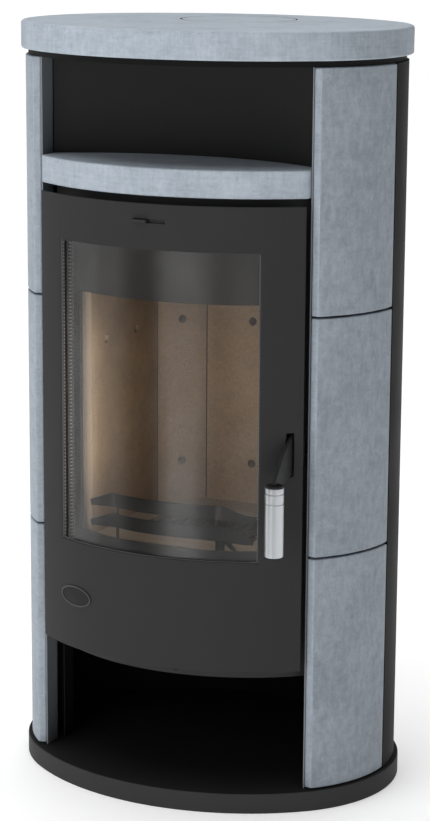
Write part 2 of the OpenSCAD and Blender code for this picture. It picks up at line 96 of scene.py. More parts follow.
# ---------------------------------------------------------------- mesh helpers
def finish_mesh(name, bm, material, body, replaces=(), angle=35.0, merge=1e-6, crease=None, second=None,
                third=None):
    """Turns a bmesh in mm into an object in metres that rides on a body. crease(a, b) marks more sharp
    edges by their ends, second and third = (material, test of a face's centre and normal) give faces another finish."""
    if merge:
        bmesh.ops.remove_doubles(bm, verts=bm.verts, dist=merge * 1000)
    bmesh.ops.recalc_face_normals(bm, faces=bm.faces)
    for v in bm.verts:
        v.co = v.co * MM
    me = bpy.data.meshes.new(name)
    bm.to_mesh(me)
    bm.free()
    me.shade_smooth()
    me.set_sharp_from_angle(angle=radians(angle))
    o = bpy.data.objects.new(name, me)
    scene.collection.objects.link(o)
    me.materials.append(material)
    for k, extra in enumerate((second, third)):
        if extra:
            me.materials.append(extra[0])
            for f in me.polygons:
                if extra[1](f.center / MM, f.normal):
                    f.material_index = k + 1
    if crease:
        for e in me.edges:
            if crease(*(me.vertices[i].co / MM for i in e.vertices)):
                e.use_edge_sharp = True
    wn = o.modifiers.new("even_normals", "WEIGHTED_NORMAL")
    wn.keep_sharp = True
    if replaces:
        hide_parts(*replaces)
    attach(o, body)
    return o


def bevel_sharp(bm, width, seg=3, angle=30.0, pick=None):
    if width <= 0:
        return
    bm.normal_update()
    edges = []
    for e in bm.edges:
        if len(e.link_faces) == 2 and e.calc_face_angle(0) > radians(angle) and (pick is None or pick(e)):
            edges.append(e)
    if edges:
        bmesh.ops.bevel(bm, geom=edges, offset=width, offset_type="OFFSET", segments=seg,
                        profile=0.5, affect="EDGES", clamp_overlap=True)


def add_prism(bm, outline, z0, z1):
    lo = [bm.verts.new((x, y, z0)) for x, y in outline]
    hi = [bm.verts.new((x, y, z1)) for x, y in outline]
    n = len(outline)
    for i in range(n):
        j = (i + 1) % n
        bm.faces.new((lo[i], lo[j], hi[j], hi[i]))
    bm.faces.new(hi)
    bm.faces.new(lo[::-1])
    return lo, hi


def add_xprism(bm, outline, x0, x1):
    """Prism along x from an outline in (y, z)."""
    lo = [bm.verts.new((x0, y, z)) for y, z in outline]
    hi = [bm.verts.new((x1, y, z)) for y, z in outline]
    n = len(outline)
    for i in range(n):
        j = (i + 1) % n
        bm.faces.new((lo[i], lo[j], hi[j], hi[i]))
    bm.faces.new(hi)
    bm.faces.new(lo[::-1])


def add_rings(bm, rings, closed=False, cap0=False, cap1=False):
    """Skin over rings of equal length."""
    rows = [[bm.verts.new(p) for p in r] for r in rings]
    n = len(rows[0])
    pairs = list(zip(rows, rows[1:])) + ([(rows[-1], rows[0])] if closed else [])
    for a, b in pairs:
        for i in range(n):
            j = (i + 1) % n
            bm.faces.new((a[i], a[j], b[j], b[i]))
    if cap0:
        bm.faces.new(rows[0][::-1])
    if cap1:
        bm.faces.new(rows[-1])
    return rows


def circle(cx, cy, r, z, n, phase=0.0):
    return [(cx + r * cos(phase + 2 * pi * i / n), cy + r * sin(phase + 2 * pi * i / n), z) for i in range(n)]


def add_lathe(bm, prof, n=64, at=(0, 0), matrix=None):
    """Turned body about z from a list of (radius, z). A radius of 0 makes a pole."""
    prev, made = None, []
    for r, z in prof:
        if r <= 1e-9:
            cur = [bm.verts.new((at[0], at[1], z))]
        else:
            cur = [bm.verts.new(p) for p in circle(at[0], at[1], r, z, n)]
        made += cur
        if prev is not None:
            for i in range(n):
                j = (i + 1) % n
                if len(prev) == 1 and len(cur) == 1:
                    break
                if len(prev) == 1:
                    bm.faces.new((prev[0], cur[i], cur[j]))
                elif len(cur) == 1:
                    bm.faces.new((prev[i], prev[j], cur[0]))
                else:
                    bm.faces.new((prev[i], prev[j], cur[j], cur[i]))
        prev = cur
    if matrix is not None:
        for v in made:
            v.co = matrix @ v.co
    return made


def between(values, step):
    """The sorted break values with even steps put in between."""
    values = sorted(values)
    out = []
    for a, b in zip(values, values[1:]):
        n = max(1, int(round((b - a) / step)))
        out += [a + (b - a) * i / n for i in range(n)]
    return out + [values[-1]]


def add_panel(bm, r0, r1, xs, zs, holes=(), cy=CY, radius=None):
    """Curved sheet about the vertical axis (0, cy): x is measured on radius r1. holes: (x0, x1, z0, z1)."""
    radius = radius or r1
    ang = [asin(x / radius) for x in xs]

    def gone(i, k):
        if not (0 <= i < len(xs) - 1 and 0 <= k < len(zs) - 1):
            return True
        x, z = (xs[i] + xs[i + 1]) / 2, (zs[k] + zs[k + 1]) / 2
        return any(a < x < b and c < z < d for a, b, c, d in holes)

    cache = {}

    def vert(i, k, side):
        key = (i, k, side)
        if key not in cache:
            r = r1 if side else r0
            cache[key] = bm.verts.new((r * sin(ang[i]), cy - r * cos(ang[i]), zs[k]))
        return cache[key]

    for i in range(len(xs) - 1):
        for k in range(len(zs) - 1):
            if gone(i, k):
                continue
            bm.faces.new([vert(*q, 1) for q in ((i, k), (i + 1, k), (i + 1, k + 1), (i, k + 1))])
            bm.faces.new([vert(*q, 0) for q in ((i, k), (i, k + 1), (i + 1, k + 1), (i + 1, k))])
            for (a, b), (di, dk) in ((((i, k), (i + 1, k)), (0, -1)), (((i + 1, k), (i + 1, k + 1)), (1, 0)),
                                     (((i + 1, k + 1), (i, k + 1)), (0, 1)), (((i, k + 1), (i, k)), (-1, 0))):
                if gone(i + di, k + dk):
                    bm.faces.new((vert(*b, 1), vert(*a, 1), vert(*a, 0), vert(*b, 0)))


def panel(name, r0, r1, xs, zs, material, body, holes=(), bevel=0.6, seg=2, replaces=(), step=7.0, cy=CY, radius=None, pick=None):
    bm = bmesh.new()
    add_panel(bm, r0, r1, between(xs, step), between(zs, 400.0), holes, cy, radius)
    bevel_sharp(bm, bevel, seg, 55.0, pick)
    return finish_mesh(name, bm, material, body, replaces)


def mirror_bm(bm):
    for v in bm.verts:
        v.co.x = -v.co.x
    bmesh.ops.reverse_faces(bm, faces=bm.faces)


# ---------------------------------------------------------------- material helpers
class Tree:
    def __init__(self, name):
        self.m = bpy.data.materials.new(name)
        self.m.use_nodes = True
        self.t = self.m.node_tree
        self.t.nodes.clear()
        self.out = self.t.nodes.new("ShaderNodeOutputMaterial")
        self.b = self.t.nodes.new("ShaderNodeBsdfPrincipled")
        self.t.links.new(self.b.outputs[0], self.out.inputs[0])
        self.co = self.t.nodes.new("ShaderNodeTexCoord").outputs["Object"]

    def link(self, a, b):
        self.t.links.new(a, b)

    def put(self, socket, value):
        if hasattr(value, "is_linked") or isinstance(value, bpy.types.NodeSocket):
            self.link(value, socket)
        elif value is not None:
            socket.default_value = value

    def coords(self, scale=(1, 1, 1), move=(0, 0, 0), turn=(0, 0, 0), src=None):
        n = self.t.nodes.new("ShaderNodeMapping")
        self.link(src or self.co, n.inputs["Vector"])
        n.inputs["Scale"].default_value = scale
        n.inputs["Location"].default_value = move
        n.inputs["Rotation"].default_value = turn
        return n.outputs[0]

    def noise(self, scale, detail=4.0, rough=0.55, distort=0.0, src=None, lac=2.0, colour=False):
        n = self.t.nodes.new("ShaderNodeTexNoise")
        n.inputs["Scale"].default_value = scale
        n.inputs["Detail"].default_value = detail
        n.inputs["Roughness"].default_value = rough
        n.inputs["Distortion"].default_value = distort
        n.inputs["Lacunarity"].default_value = lac
        self.link(src or self.co, n.inputs["Vector"])
        return n.outputs["Color" if colour else "Fac"]

    def voronoi(self, scale, src=None, feature="F1", out="Distance", rand=1.0):
        n = self.t.nodes.new("ShaderNodeTexVoronoi")
        n.feature = feature
        n.inputs["Scale"].default_value = scale
        n.inputs["Randomness"].default_value = rand
        self.link(src or self.co, n.inputs["Vector"])
        return n.outputs[out]

    def ramp(self, fac, stops, mode="LINEAR"):
        n = self.t.nodes.new("ShaderNodeValToRGB")
        n.color_ramp.interpolation = mode
        e = n.color_ramp.elements
        while len(e) < len(stops):
            e.new(0.5)
        for s, (p, c) in zip(e, stops):
            s.position = p
            s.color = tuple(c) + (1.0,) if len(c) == 3 else c
        self.link(fac, n.inputs["Fac"])
        return n.outputs["Color"]

    def step(self, fac, lo, hi, a=0.0, b=1.0, smooth=True):
        n = self.t.nodes.new("ShaderNodeMapRange")
        n.interpolation_type = "SMOOTHSTEP" if smooth else "LINEAR"
        self.put(n.inputs["Value"], fac)
        n.inputs["From Min"].default_value = lo
        n.inputs["From Max"].default_value = hi
        n.inputs["To Min"].default_value = a
        n.inputs["To Max"].default_value = b
        return n.outputs["Result"]

    def math(self, op, a, b=None, c=None, clamp=False):
        n = self.t.nodes.new("ShaderNodeMath")
        n.operation = op
        n.use_clamp = clamp
        for s, v in zip(n.inputs, (a, b, c)):
            self.put(s, v)
        return n.outputs[0]

    def mix(self, fac, a, b, mode="MIX"):
        n = self.t.nodes.new("ShaderNodeMix")
        n.data_type = "RGBA"
        n.blend_type = mode
        self.put(n.inputs[0], fac)
        for s, v in ((n.inputs[6], a), (n.inputs[7], b)):
            self.put(s, tuple(v) + (1.0,) if isinstance(v, (tuple, list)) and len(v) == 3 else v)
        return n.outputs[2]

    def bump(self, height, strength=0.3, dist=0.001, normal=None):
        n = self.t.nodes.new("ShaderNodeBump")
        n.inputs["Strength"].default_value = strength
        n.inputs["Distance"].default_value = dist
        self.link(height, n.inputs["Height"])
        if normal is not None:
            self.link(normal, n.inputs["Normal"])
        return n.outputs[0]

    def separate(self, src=None):
        n = self.t.nodes.new("ShaderNodeSeparateXYZ")
        self.link(src or self.co, n.inputs[0])
        return n.outputs

    def set(self, **k):
        names = {"colour": "Base Color", "rough": "Roughness", "metal": "Metallic", "normal": "Normal",
                 "spec": "Specular IOR Level", "coat": "Coat Weight", "coat_rough": "Coat Roughness",
                 "ior": "IOR", "alpha": "Alpha", "transmission": "Transmission Weight",
                 "sheen": "Sheen Weight", "aniso": "Anisotropic"}
        for key, v in k.items():
            if isinstance(v, (tuple, list)) and len(v) == 3:
                v = tuple(v) + (1.0,)
            self.put(self.b.inputs[names[key]], v)
        return self


def soapstone(name, dark, mid, light, seed, turn=0.0, rough=0.56, vein=1.0, chips=None, weave=1.0):
    """Grey-blue talc stone: low soft mottling, fine cross-hatched grain, short dark scratches, small pits and
    a few pale ones. chips = (z0, z1) in metres: a band along an edge with small dark chips. weave: strength of the
    cross-hatch."""
    t = Tree(name)
    base = t.coords(move=seed, turn=(0, 0, turn))
    cloud = t.noise(9.0, 4.0, 0.55, 0.5, base)
    patch = t.noise(62.0, 8.0, 0.70, 0.6, base)
    grit = t.noise(520.0, 3.0, 0.65, 0.0, base)
    vert = t.noise(230.0, 4.0, 0.6, 0.0, t.coords((1, 1, 0.10), src=base))
    horz = t.noise(230.0, 4.0, 0.6, 0.0, t.coords((0.10, 0.10, 1), src=base))
    tone = t.math("MULTIPLY_ADD", cloud, 0.32, t.math("MULTIPLY_ADD", patch, 0.62, 0.03))
    tone = t.math("ADD", tone, t.math("MULTIPLY_ADD", grit, 0.30, -0.15))
    tone = t.math("ADD", tone, t.math("MULTIPLY_ADD", vert, 0.30 * weave, -0.15 * weave))
    tone = t.math("ADD", tone, t.math("MULTIPLY_ADD", horz, 0.28 * weave, -0.14 * weave))
    if weave < 0.9:
        slant = t.noise(120.0, 5.0, 0.62, 0.3, t.coords((1, 1, 0.35), (4, 2, 6), (0.7, -0.5, 0.4), src=base))
        tone = t.math("ADD", tone, t.math("MULTIPLY_ADD", slant, 0.46, -0.23))
    colour = t.ramp(tone, [(0.30, dark), (0.50, mid), (0.72, light)])
    # thin dark wisps: narrow level lines of a warped noise, broken up by a second one
    warp = t.noise(22.0, 6.0, 0.62, 2.0, t.coords((1, 1, 0.6), (3, 1, 7), src=base))
    line = t.step(t.math("ABSOLUTE", t.math("SUBTRACT", warp, 0.5)), 0.0, 0.010, 1.0, 0.0)
    some = t.step(t.noise(38.0, 3.0, 0.5, 0.0, t.coords(move=(5, 2, 1), src=base)), 0.59, 0.70)
    wisps = t.math("MULTIPLY", line, some)
    colour = t.mix(t.math("MULTIPLY", wisps, 0.30 * vein), colour, tuple(c * 0.42 for c in dark))
    # short dark scratches that run aslant, and small pits
    marks = None
    for turn_x, turn_y, turn_z, off in ((0.5, 0.4, 0.9, 1.0), (-0.6, -0.5, 2.2, 5.0)):
        cell = t.voronoi(95.0, t.coords((1, 1, 0.34), (off, 9, 4), (turn_x, turn_y, turn_z), src=base))
        mark = t.step(cell, 0.06, 0.15, 1.0, 0.0)
        few = t.step(t.noise(46.0, 2.0, 0.5, 0.0, t.coords(move=(9, off, 2), src=base)), 0.60, 0.66)
        mark = t.math("MULTIPLY", mark, few)
        marks = mark if marks is None else t.math("MAXIMUM", marks, mark)
    colour = t.mix(t.math("MULTIPLY", marks, 0.42 * vein), colour, tuple(c * 0.5 for c in dark))
    # pale dry scratches
    scr = t.noise(14.0, 5.0, 0.6, 1.2, t.coords((1, 1, 0.3), (2, 8, 5), (0.2, 0.1, 0.5), src=base))
    scr = t.step(t.math("ABSOLUTE", t.math("SUBTRACT", scr, 0.47)), 0.0, 0.006, 1.0, 0.0)
    scr = t.math("MULTIPLY", scr, t.step(t.noise(17.0, 2.0, 0.5, 0.0, t.coords(move=(7, 3, 3), src=base)), 0.56, 0.66))
    colour = t.mix(t.math("MULTIPLY", scr, 0.20), colour, tuple(min(1, c * 1.28) for c in light))
    if chips:
        z = t.separate()[2]
        band = t.math("MULTIPLY", t.step(z, chips[0], chips[0] + 0.0012), t.step(z, chips[1] - 0.0008, chips[1], 1.0, 0.0))
        spot = t.step(t.noise(85.0, 4.0, 0.6, 0.4, t.coords((1, 1, 2.0), (2, 7, 1), src=base)), 0.60, 0.68)
        colour = t.mix(t.math("MULTIPLY", t.math("MULTIPLY", band, spot), 0.55), colour, tuple(c * 0.4 for c in dark))
    height = t.math("ADD", t.math("MULTIPLY", patch, 0.6), t.math("MULTIPLY", grit, 0.40))
    height = t.math("SUBTRACT", height, t.math("MULTIPLY", t.math("ADD", marks, wisps), 0.5))
    t.set(colour=colour, rough=t.step(patch, 0.3, 0.7, rough - 0.05, rough + 0.09), spec=0.42,
          normal=t.bump(height, 0.30, 0.0006))
    return t.m


def paint(name, colour, rough=0.46, var=0.10, grain=900.0, bump=0.10, spec=0.5, wear=0.0):
    """Heat-proof stove paint: fine dry grain, soft cloudy sheen."""
    t = Tree(name)
    cloud = t.noise(6.0, 4.0, 0.6)
    fine = t.noise(grain, 3.0, 0.6)
    f = t.math("ADD", t.math("MULTIPLY", cloud, 0.75), t.math("MULTIPLY", fine, 0.25))
    lo = tuple(c * (1 - var) for c in colour)
    hi = tuple(c * (1 + var) for c in colour)
    col = t.ramp(f, [(0.30, lo), (0.70, hi)])
    if wear:
        dust = t.step(t.noise(55.0, 8.0, 0.7, 0.5), 0.56, 0.74)
        col = t.mix(t.math("MULTIPLY", dust, wear), col, (0.12, 0.115, 0.105))
    t.set(colour=col, rough=t.step(f, 0.35, 0.65, rough - 0.03, rough + 0.04), spec=spec,
          normal=t.bump(fine, bump, 0.0002))
    return t.m


def metal(name, colour, rough=0.3, stretch=(1, 1, 40), scale=60.0, var=0.08, bump=0.08, tint=None):
    """Turned or brushed steel: fine drawn lines."""
    t = Tree(name)
    lines = t.noise(scale, 4.0, 0.65, 0.0, t.coords(stretch))
    cloud = t.noise(26.0, 4.0, 0.6)
    f = t.math("ADD", t.math("MULTIPLY", lines, 0.7), t.math("MULTIPLY", cloud, 0.3))
    lo = tuple(c * (1 - var) for c in colour)
    hi = tuple(min(1.0, c * (1 + var)) for c in (tint or colour))
    t.set(colour=t.ramp(f, [(0.32, lo), (0.68, hi)]), metal=1.0, rough=t.step(f, 0.3, 0.7, rough - 0.05, rough + 0.08),
          normal=t.bump(lines, bump, 0.0002))
    return t.m


def casting(name, colour, rough=0.62):
    """Sand-cast iron: dull, slightly pitted."""
    t = Tree(name)
    grain = t.noise(520.0, 5.0, 0.7)
    cloud = t.noise(20.0, 4.0, 0.6)
    pits = t.step(t.voronoi(420.0), 0.10, 0.32)
    col = t.ramp(cloud, [(0.3, tuple(c * 0.8 for c in colour)), (0.7, tuple(c * 1.25 for c in colour))])
    col = t.mix(t.step(t.noise(40.0, 6.0, 0.7), 0.6, 0.75, 0.0, 0.35), col, tuple(c * 2.4 for c in colour))
    t.set(colour=col, rough=t.step(cloud, 0.3, 0.7, rough - 0.08, rough + 0.08), spec=0.25,
          normal=t.bump(t.math("ADD", grain, pits), 0.35, 0.0005))
    return t.m


def brick(name, dark, mid, light, seed, soot=0.55, face=0.0):
    """Pressed flake board: fine grit, paler flakes, soot drifting up from the fire.
    face: painted light: how much paler the narrow faces towards the door are painted, standing in for light that falls
    on them through the window; soot is also mostly left off them."""
    t = Tree(name)
    base = t.coords(move=seed)
    flake = t.voronoi(300.0, base, out="Color")
    n = t.t.nodes.new("ShaderNodeSeparateColor")
    t.link(flake, n.inputs[0])
    grit = t.noise(260.0, 5.0, 0.7, 0.0, base)
    cloud = t.noise(12.0, 5.0, 0.6, 0.5, base)
    f = t.math("ADD", t.math("MULTIPLY", n.outputs[0], 0.09), t.math("MULTIPLY", grit, 0.22))
    f = t.math("ADD", f, t.math("MULTIPLY_ADD", cloud, 0.34, 0.175))
    col = t.ramp(f, [(0.32, dark), (0.52, mid), (0.74, light)])
    z = t.separate()[2]
    drift = t.math("ADD", t.step(z, 0.58, 0.80, 0.20, 0.75), t.math("MULTIPLY_ADD", t.noise(9.0, 6.0, 0.62, 1.0, base), 1.1, -0.62))
    door_face_light = None
    # painted light: faces turned towards the door are painted paler for the light that falls on them, and get less soot
    if face:
        normal = t.t.nodes.new("ShaderNodeTexCoord").outputs["Normal"]
        door_face_light = t.step(t.separate(normal)[1], -0.9, -0.6, 1.0, 0.0)
        col = t.mix(t.math("MULTIPLY", door_face_light, face), col, (0.44, 0.385, 0.315))
    smoke = t.math("MULTIPLY", t.step(drift, 0.15, 1.1), soot)
    if door_face_light is not None:
        smoke = t.math("MULTIPLY", smoke, t.math("MULTIPLY_ADD", door_face_light, -0.8, 1.0))
    col = t.mix(smoke, col, (0.06, 0.05, 0.042))
    t.set(colour=col, rough=0.88, spec=0.25, normal=t.bump(t.math("ADD", grit, n.outputs[1]), 0.35, 0.0006))
    return t.m


# ---------------------------------------------------------------- materials
M = {}
D0, M0, L0 = (0.250, 0.287, 0.330), (0.345, 0.392, 0.445), (0.450, 0.502, 0.560)
M["slab"] = soapstone("top_stone", (0.285, 0.328, 0.378), (0.385, 0.437, 0.495), (0.485, 0.540, 0.602), (0.3, 0.7, 0.1),
                      chips=(1.1625, 1.1692))
# painted shade: a darker copy of the top stone for the slab's end faces past the front corners
M["slab_end"] = soapstone("end_stone_painted_shade", (0.262, 0.303, 0.351), (0.356, 0.405, 0.461), (0.450, 0.506, 0.566), (3.3, 1.7, 0.4))
# painted shade: a near-black copy of the stone for the slab's hole wall round the flue cover and the cover's side and
# rounded edge
M["joint"] = soapstone("joint_stone", (0.035, 0.040, 0.046), (0.055, 0.063, 0.072), (0.08, 0.09, 0.10), (1.3, 4.7, 3.4), vein=0.2)
# painted light: a paler stone for the narrow front bevel strips of the side stones, to stand in for light falling on
# them
M["edge"] = soapstone("edge_stone_painted_light", (0.256, 0.292, 0.340), (0.342, 0.387, 0.441), (0.428, 0.474, 0.531), (5.3, 0.7, 2.4), vein=0.5)
M["disc"] = soapstone("disc_stone", (0.285, 0.328, 0.378), (0.385, 0.437, 0.495), (0.485, 0.540, 0.602), (1.3, 0.2, 0.6))
M["shelf"] = soapstone("shelf_stone_finish", (0.292, 0.334, 0.381), (0.386, 0.438, 0.494), (0.480, 0.533, 0.591), (2.1, 1.4, 0.9))
for side, k in (("left", 0), ("right", 1)):
    for i, row in enumerate(("bottom", "middle", "top")):
        # painted shade: the right stones are painted about 15 % darker than the left ones, and the top left stone 8 %
        # darker than the bottom one, for how the light falls on them; all of them are one stone
        tone = [tuple(c * ((0.85, 0.84, 0.86)[i] if k else (1.0, 0.98, 0.92)[i]) for c in v) for v in (D0, M0, L0)]
        M[side + row] = soapstone("stone_%s_%s_finish" % (side, row), *tone, (0.9 * i + 4 * k + 0.37, 1.7 * i + 0.21, 0.53 * i + 2 * k),
                                  weave=0.35 if k else 1.0)
M["door"] = paint("door_paint_finish", (0.031, 0.031, 0.0312), 0.62, 0.06, 1100.0, 0.10, 0.18)
# painted highlight: the cut edges of the door's window opening get paint about three times paler than the door,
# standing in for light on them
M["rim"] = paint("door_cut_painted_highlight", (0.095, 0.093, 0.094), 0.6, 0.08, 900.0, 0.10, 0.2)
M["front"] = paint("front_paint_finish", (0.031, 0.031, 0.0315), 0.55, 0.07, 1000.0, 0.02, 0.25)
M["seam"] = paint("brick_seam_finish", (0.010, 0.009, 0.008), 0.9, 0.2, 600.0, 0.2, 0.1)
# black paint, and painted shade: near-black, about a tenth of the other black paint, for the shade on the rear shell's
# side
M["casing"] = paint("casing_paint_black_and_shade", (0.004, 0.004, 0.0041), 0.6, 0.10, 1000.0, 0.12, 0.15)
# painted shade: the frame posts get paint about a third as bright as the front paint, for the shade in the recess
# beside the door
M["post"] = paint("post_paint_painted_shade", (0.011, 0.011, 0.0115), 0.55, 0.07, 1000.0, 0.12, 0.2)
# painted light: the side panels' flanges are painted several times paler and bluer than the other casing paint, to
# stand in for light from the right that their recess doesn't get
M["flange"] = paint("flange_paint_painted_light", (0.200, 0.215, 0.234), 0.5, 0.06, 1000.0, 0.08, 0.3)
M["screw"] = paint("screw_finish", (0.006, 0.006, 0.006), 0.45, 0.15, 600.0, 0.10, 0.3)
# painted shade: the base tray's upward face gets paint about a third as bright as its rim, for the shade under the door
# and in the log bay
M["tray_floor"] = paint("tray_floor_finish", (0.0125, 0.0125, 0.0125), 0.7, 0.12, 800.0, 0.15, 0.15)
M["tray"] = paint("tray_paint_finish", (0.041, 0.041, 0.0413), 0.62, 0.08, 900.0, 0.12, 0.15)
M["tray_top"] = paint("top_tray_finish", (0.004, 0.004, 0.004), 0.65, 0.12, 900.0, 0.12, 0.2)
M["niche"] = paint("niche_finish", (0.0175, 0.0175, 0.0178), 0.6, 0.10, 900.0, 0.12, 0.3)
# painted shade: the bay roof is painted near-black for the shade inside the log bay
M["inner"] = paint("bay_painted_shade", (0.005, 0.005, 0.005), 0.8, 0.2, 700.0, 0.15, 0.1)
M["firesteel"] = paint("firebox_steel_finish", (0.052, 0.047, 0.042), 0.66, 0.25, 500.0, 0.25, 0.4, 0.5)
M["frame"] = paint("door_frame_finish", (0.030, 0.030, 0.030), 0.5, 0.1, 900.0, 0.12, 0.45, 0.2)
M["flue"] = paint("flue_finish", (0.018, 0.018, 0.019), 0.62, 0.15, 800.0, 0.2, 0.4)
M["zinc"] = metal("zinc_finish", (0.47, 0.46, 0.43), 0.38, (1, 1, 1), 240.0, 0.12, 0.12, (0.55, 0.53, 0.46))
M["pan"] = metal("pan_finish", (0.36, 0.36, 0.37), 0.42, (1, 30, 1), 60.0, 0.12, 0.1)
M["iron"] = casting("cast_iron_finish", (0.0075, 0.0075, 0.0078), 0.6)
M["badge"] = casting("badge_finish", (0.0065, 0.0065, 0.0068), 0.50)
M["badge_rim"] = casting("badge_rim_finish", (0.060, 0.060, 0.061), 0.40)
M["lever"] = paint("lever_finish", (0.0095, 0.0095, 0.0097), 0.46, 0.12, 700.0, 0.2)
M["collar"] = paint("collar_finish", (0.010, 0.010, 0.010), 0.36, 0.12, 700.0, 0.12)
M["grip"] = metal("grip_finish", (0.56, 0.58, 0.595), 0.37, (1, 1, 30), 90.0, 0.05, 0.06)
# the side boards' faces towards the door are painted paler: painted light
M["bside"] = brick("side_brick_finish", (0.20, 0.140, 0.088), (0.31, 0.225, 0.145), (0.43, 0.325, 0.220), (0.1, 0.4, 0.2), 0.45, 0.62)
M["bcorner"] = brick("corner_brick_finish", (0.24, 0.168, 0.105), (0.37, 0.268, 0.175), (0.50, 0.378, 0.258), (1.1, 2.4, 0.7), 0.45)
M["brear"] = brick("rear_brick_finish", (0.24, 0.170, 0.108), (0.37, 0.270, 0.178), (0.50, 0.380, 0.262), (2.1, 0.4, 1.2), 0.45)
M["bfloor"] = brick("floor_brick_finish", (0.16, 0.132, 0.104), (0.28, 0.236, 0.188), (0.40, 0.35, 0.285), (3.1, 1.4, 2.2), 0.8)
M["baffle"] = brick("baffle_finish", (0.22, 0.185, 0.145), (0.36, 0.305, 0.24), (0.48, 0.42, 0.34), (4.1, 1.1, 0.2), 0.3)


def fabric(name, dark, light, scale, rough=0.9, stitch=0.0, band=None):
    """Woven glass fibre. stitch: pitch in metres of light stitches along the upright and the level runs.
    band = (r0, r1): the stitches lie between these distances from the axis of the door's curve."""
    t = Tree(name)
    w = t.noise(scale, 4.0, 0.65)
    fuzz = t.noise(scale * 4.0, 3.0, 0.7)
    f = t.math("ADD", t.math("MULTIPLY", w, 0.6), t.math("MULTIPLY", fuzz, 0.4))
    if stitch:
        xyz = t.separate()
        side = t.step(t.math("ABSOLUTE", xyz[0]), 0.150, 0.156)
        rows = []
        for axis in (2, 0):
            wave = t.math("SINE", t.math("MULTIPLY", xyz[axis], 2 * pi / stitch))
            rows.append(t.step(wave, -0.25, 0.65))
        dots = t.math("ADD", t.math("MULTIPLY", rows[0], side), t.math("MULTIPLY", rows[1], t.math("SUBTRACT", 1.0, side)))
        if band:
            dy = t.math("SUBTRACT", xyz[1], CY * MM)
            r = t.math("SQRT", t.math("ADD", t.math("MULTIPLY", xyz[0], xyz[0]), t.math("MULTIPLY", dy, dy)))
            dots = t.math("MULTIPLY", dots, t.math("MULTIPLY", t.step(r, band[0], band[0] + 0.0012),
                                                   t.step(r, band[1] - 0.0012, band[1], 1.0, 0.0)))
        f = t.math("ADD", t.math("MULTIPLY", f, 0.35), t.math("MULTIPLY", dots, 0.62))
    t.set(colour=t.ramp(f, [(0.3, dark), (0.7, light)]), rough=rough, spec=0.3, sheen=0.25, normal=t.bump(f, 0.5, 0.0006))
    return t.m


M["rope"] = fabric("seal_rope_finish", (0.034, 0.033, 0.033), (0.24, 0.235, 0.23), 420.0, stitch=0.0055, band=(0.3275, 0.3325))
M["tape"] = fabric("gasket_tape_finish", (0.060, 0.059, 0.059), (0.21, 0.205, 0.20), 600.0, stitch=0.0055)
M["band"] = fabric("frame_tape_finish", (0.050, 0.049, 0.049), (0.25, 0.245, 0.24), 600.0, stitch=0.0037)
M["felt"] = fabric("felt_pad_finish", (0.012, 0.012, 0.012), (0.03, 0.03, 0.03), 500.0)


def pane(name):
    """Ceramic glass: lets light through with a faint warm-grey tint and mirrors more at glancing angles."""
    m = bpy.data.materials.new(name)
    m.use_nodes = True
    t = m.node_tree
    t.nodes.clear()
    out = t.nodes.new("ShaderNodeOutputMaterial")
    clear = t.nodes.new("ShaderNodeBsdfTransparent")
    clear.inputs["Color"].default_value = (0.90, 0.885, 0.865, 1.0)
    gloss = t.nodes.new("ShaderNodeBsdfGlossy")
    gloss.inputs["Color"].default_value = (0.95, 0.96, 0.98, 1.0)
    gloss.inputs["Roughness"].default_value = 0.16
    facing = t.nodes.new("ShaderNodeLayerWeight")
    facing.inputs["Blend"].default_value = 0.5
    power = t.nodes.new("ShaderNodeMath")
    power.operation = "POWER"
    t.links.new(facing.outputs["Facing"], power.inputs[0])
    power.inputs[1].default_value = 5.0
    fres = t.nodes.new("ShaderNodeMath")
    fres.operation = "MULTIPLY_ADD"
    t.links.new(power.outputs[0], fres.inputs[0])
    fres.inputs[1].default_value = 0.84
    fres.inputs[2].default_value = 0.037
    smear = t.nodes.new("ShaderNodeTexNoise")
    co = t.nodes.new("ShaderNodeTexCoord")
    t.links.new(co.outputs["Object"], smear.inputs["Vector"])
    smear.inputs["Scale"].default_value = 14.0
    smear.inputs["Detail"].default_value = 4.0
    add = t.nodes.new("ShaderNodeMapRange")
    add.inputs["From Min"].default_value = 0.3
    add.inputs["From Max"].default_value = 0.7
    add.inputs["To Min"].default_value = 0.85
    add.inputs["To Max"].default_value = 1.15
    t.links.new(smear.outputs["Fac"], add.inputs["Value"])
    mul = t.nodes.new("ShaderNodeMath")
    mul.operation = "MULTIPLY"
    t.links.new(fres.outputs[0], mul.inputs[0])
    t.links.new(add.outputs[0], mul.inputs[1])
    mix = t.nodes.new("ShaderNodeMixShader")
    t.links.new(mul.outputs[0], mix.inputs[0])
    t.links.new(clear.outputs[0], mix.inputs[1])
    t.links.new(gloss.outputs[0], mix.inputs[2])
    t.links.new(mix.outputs[0], out.inputs[0])
    return m


M["glass"] = pane("window_glass_finish")

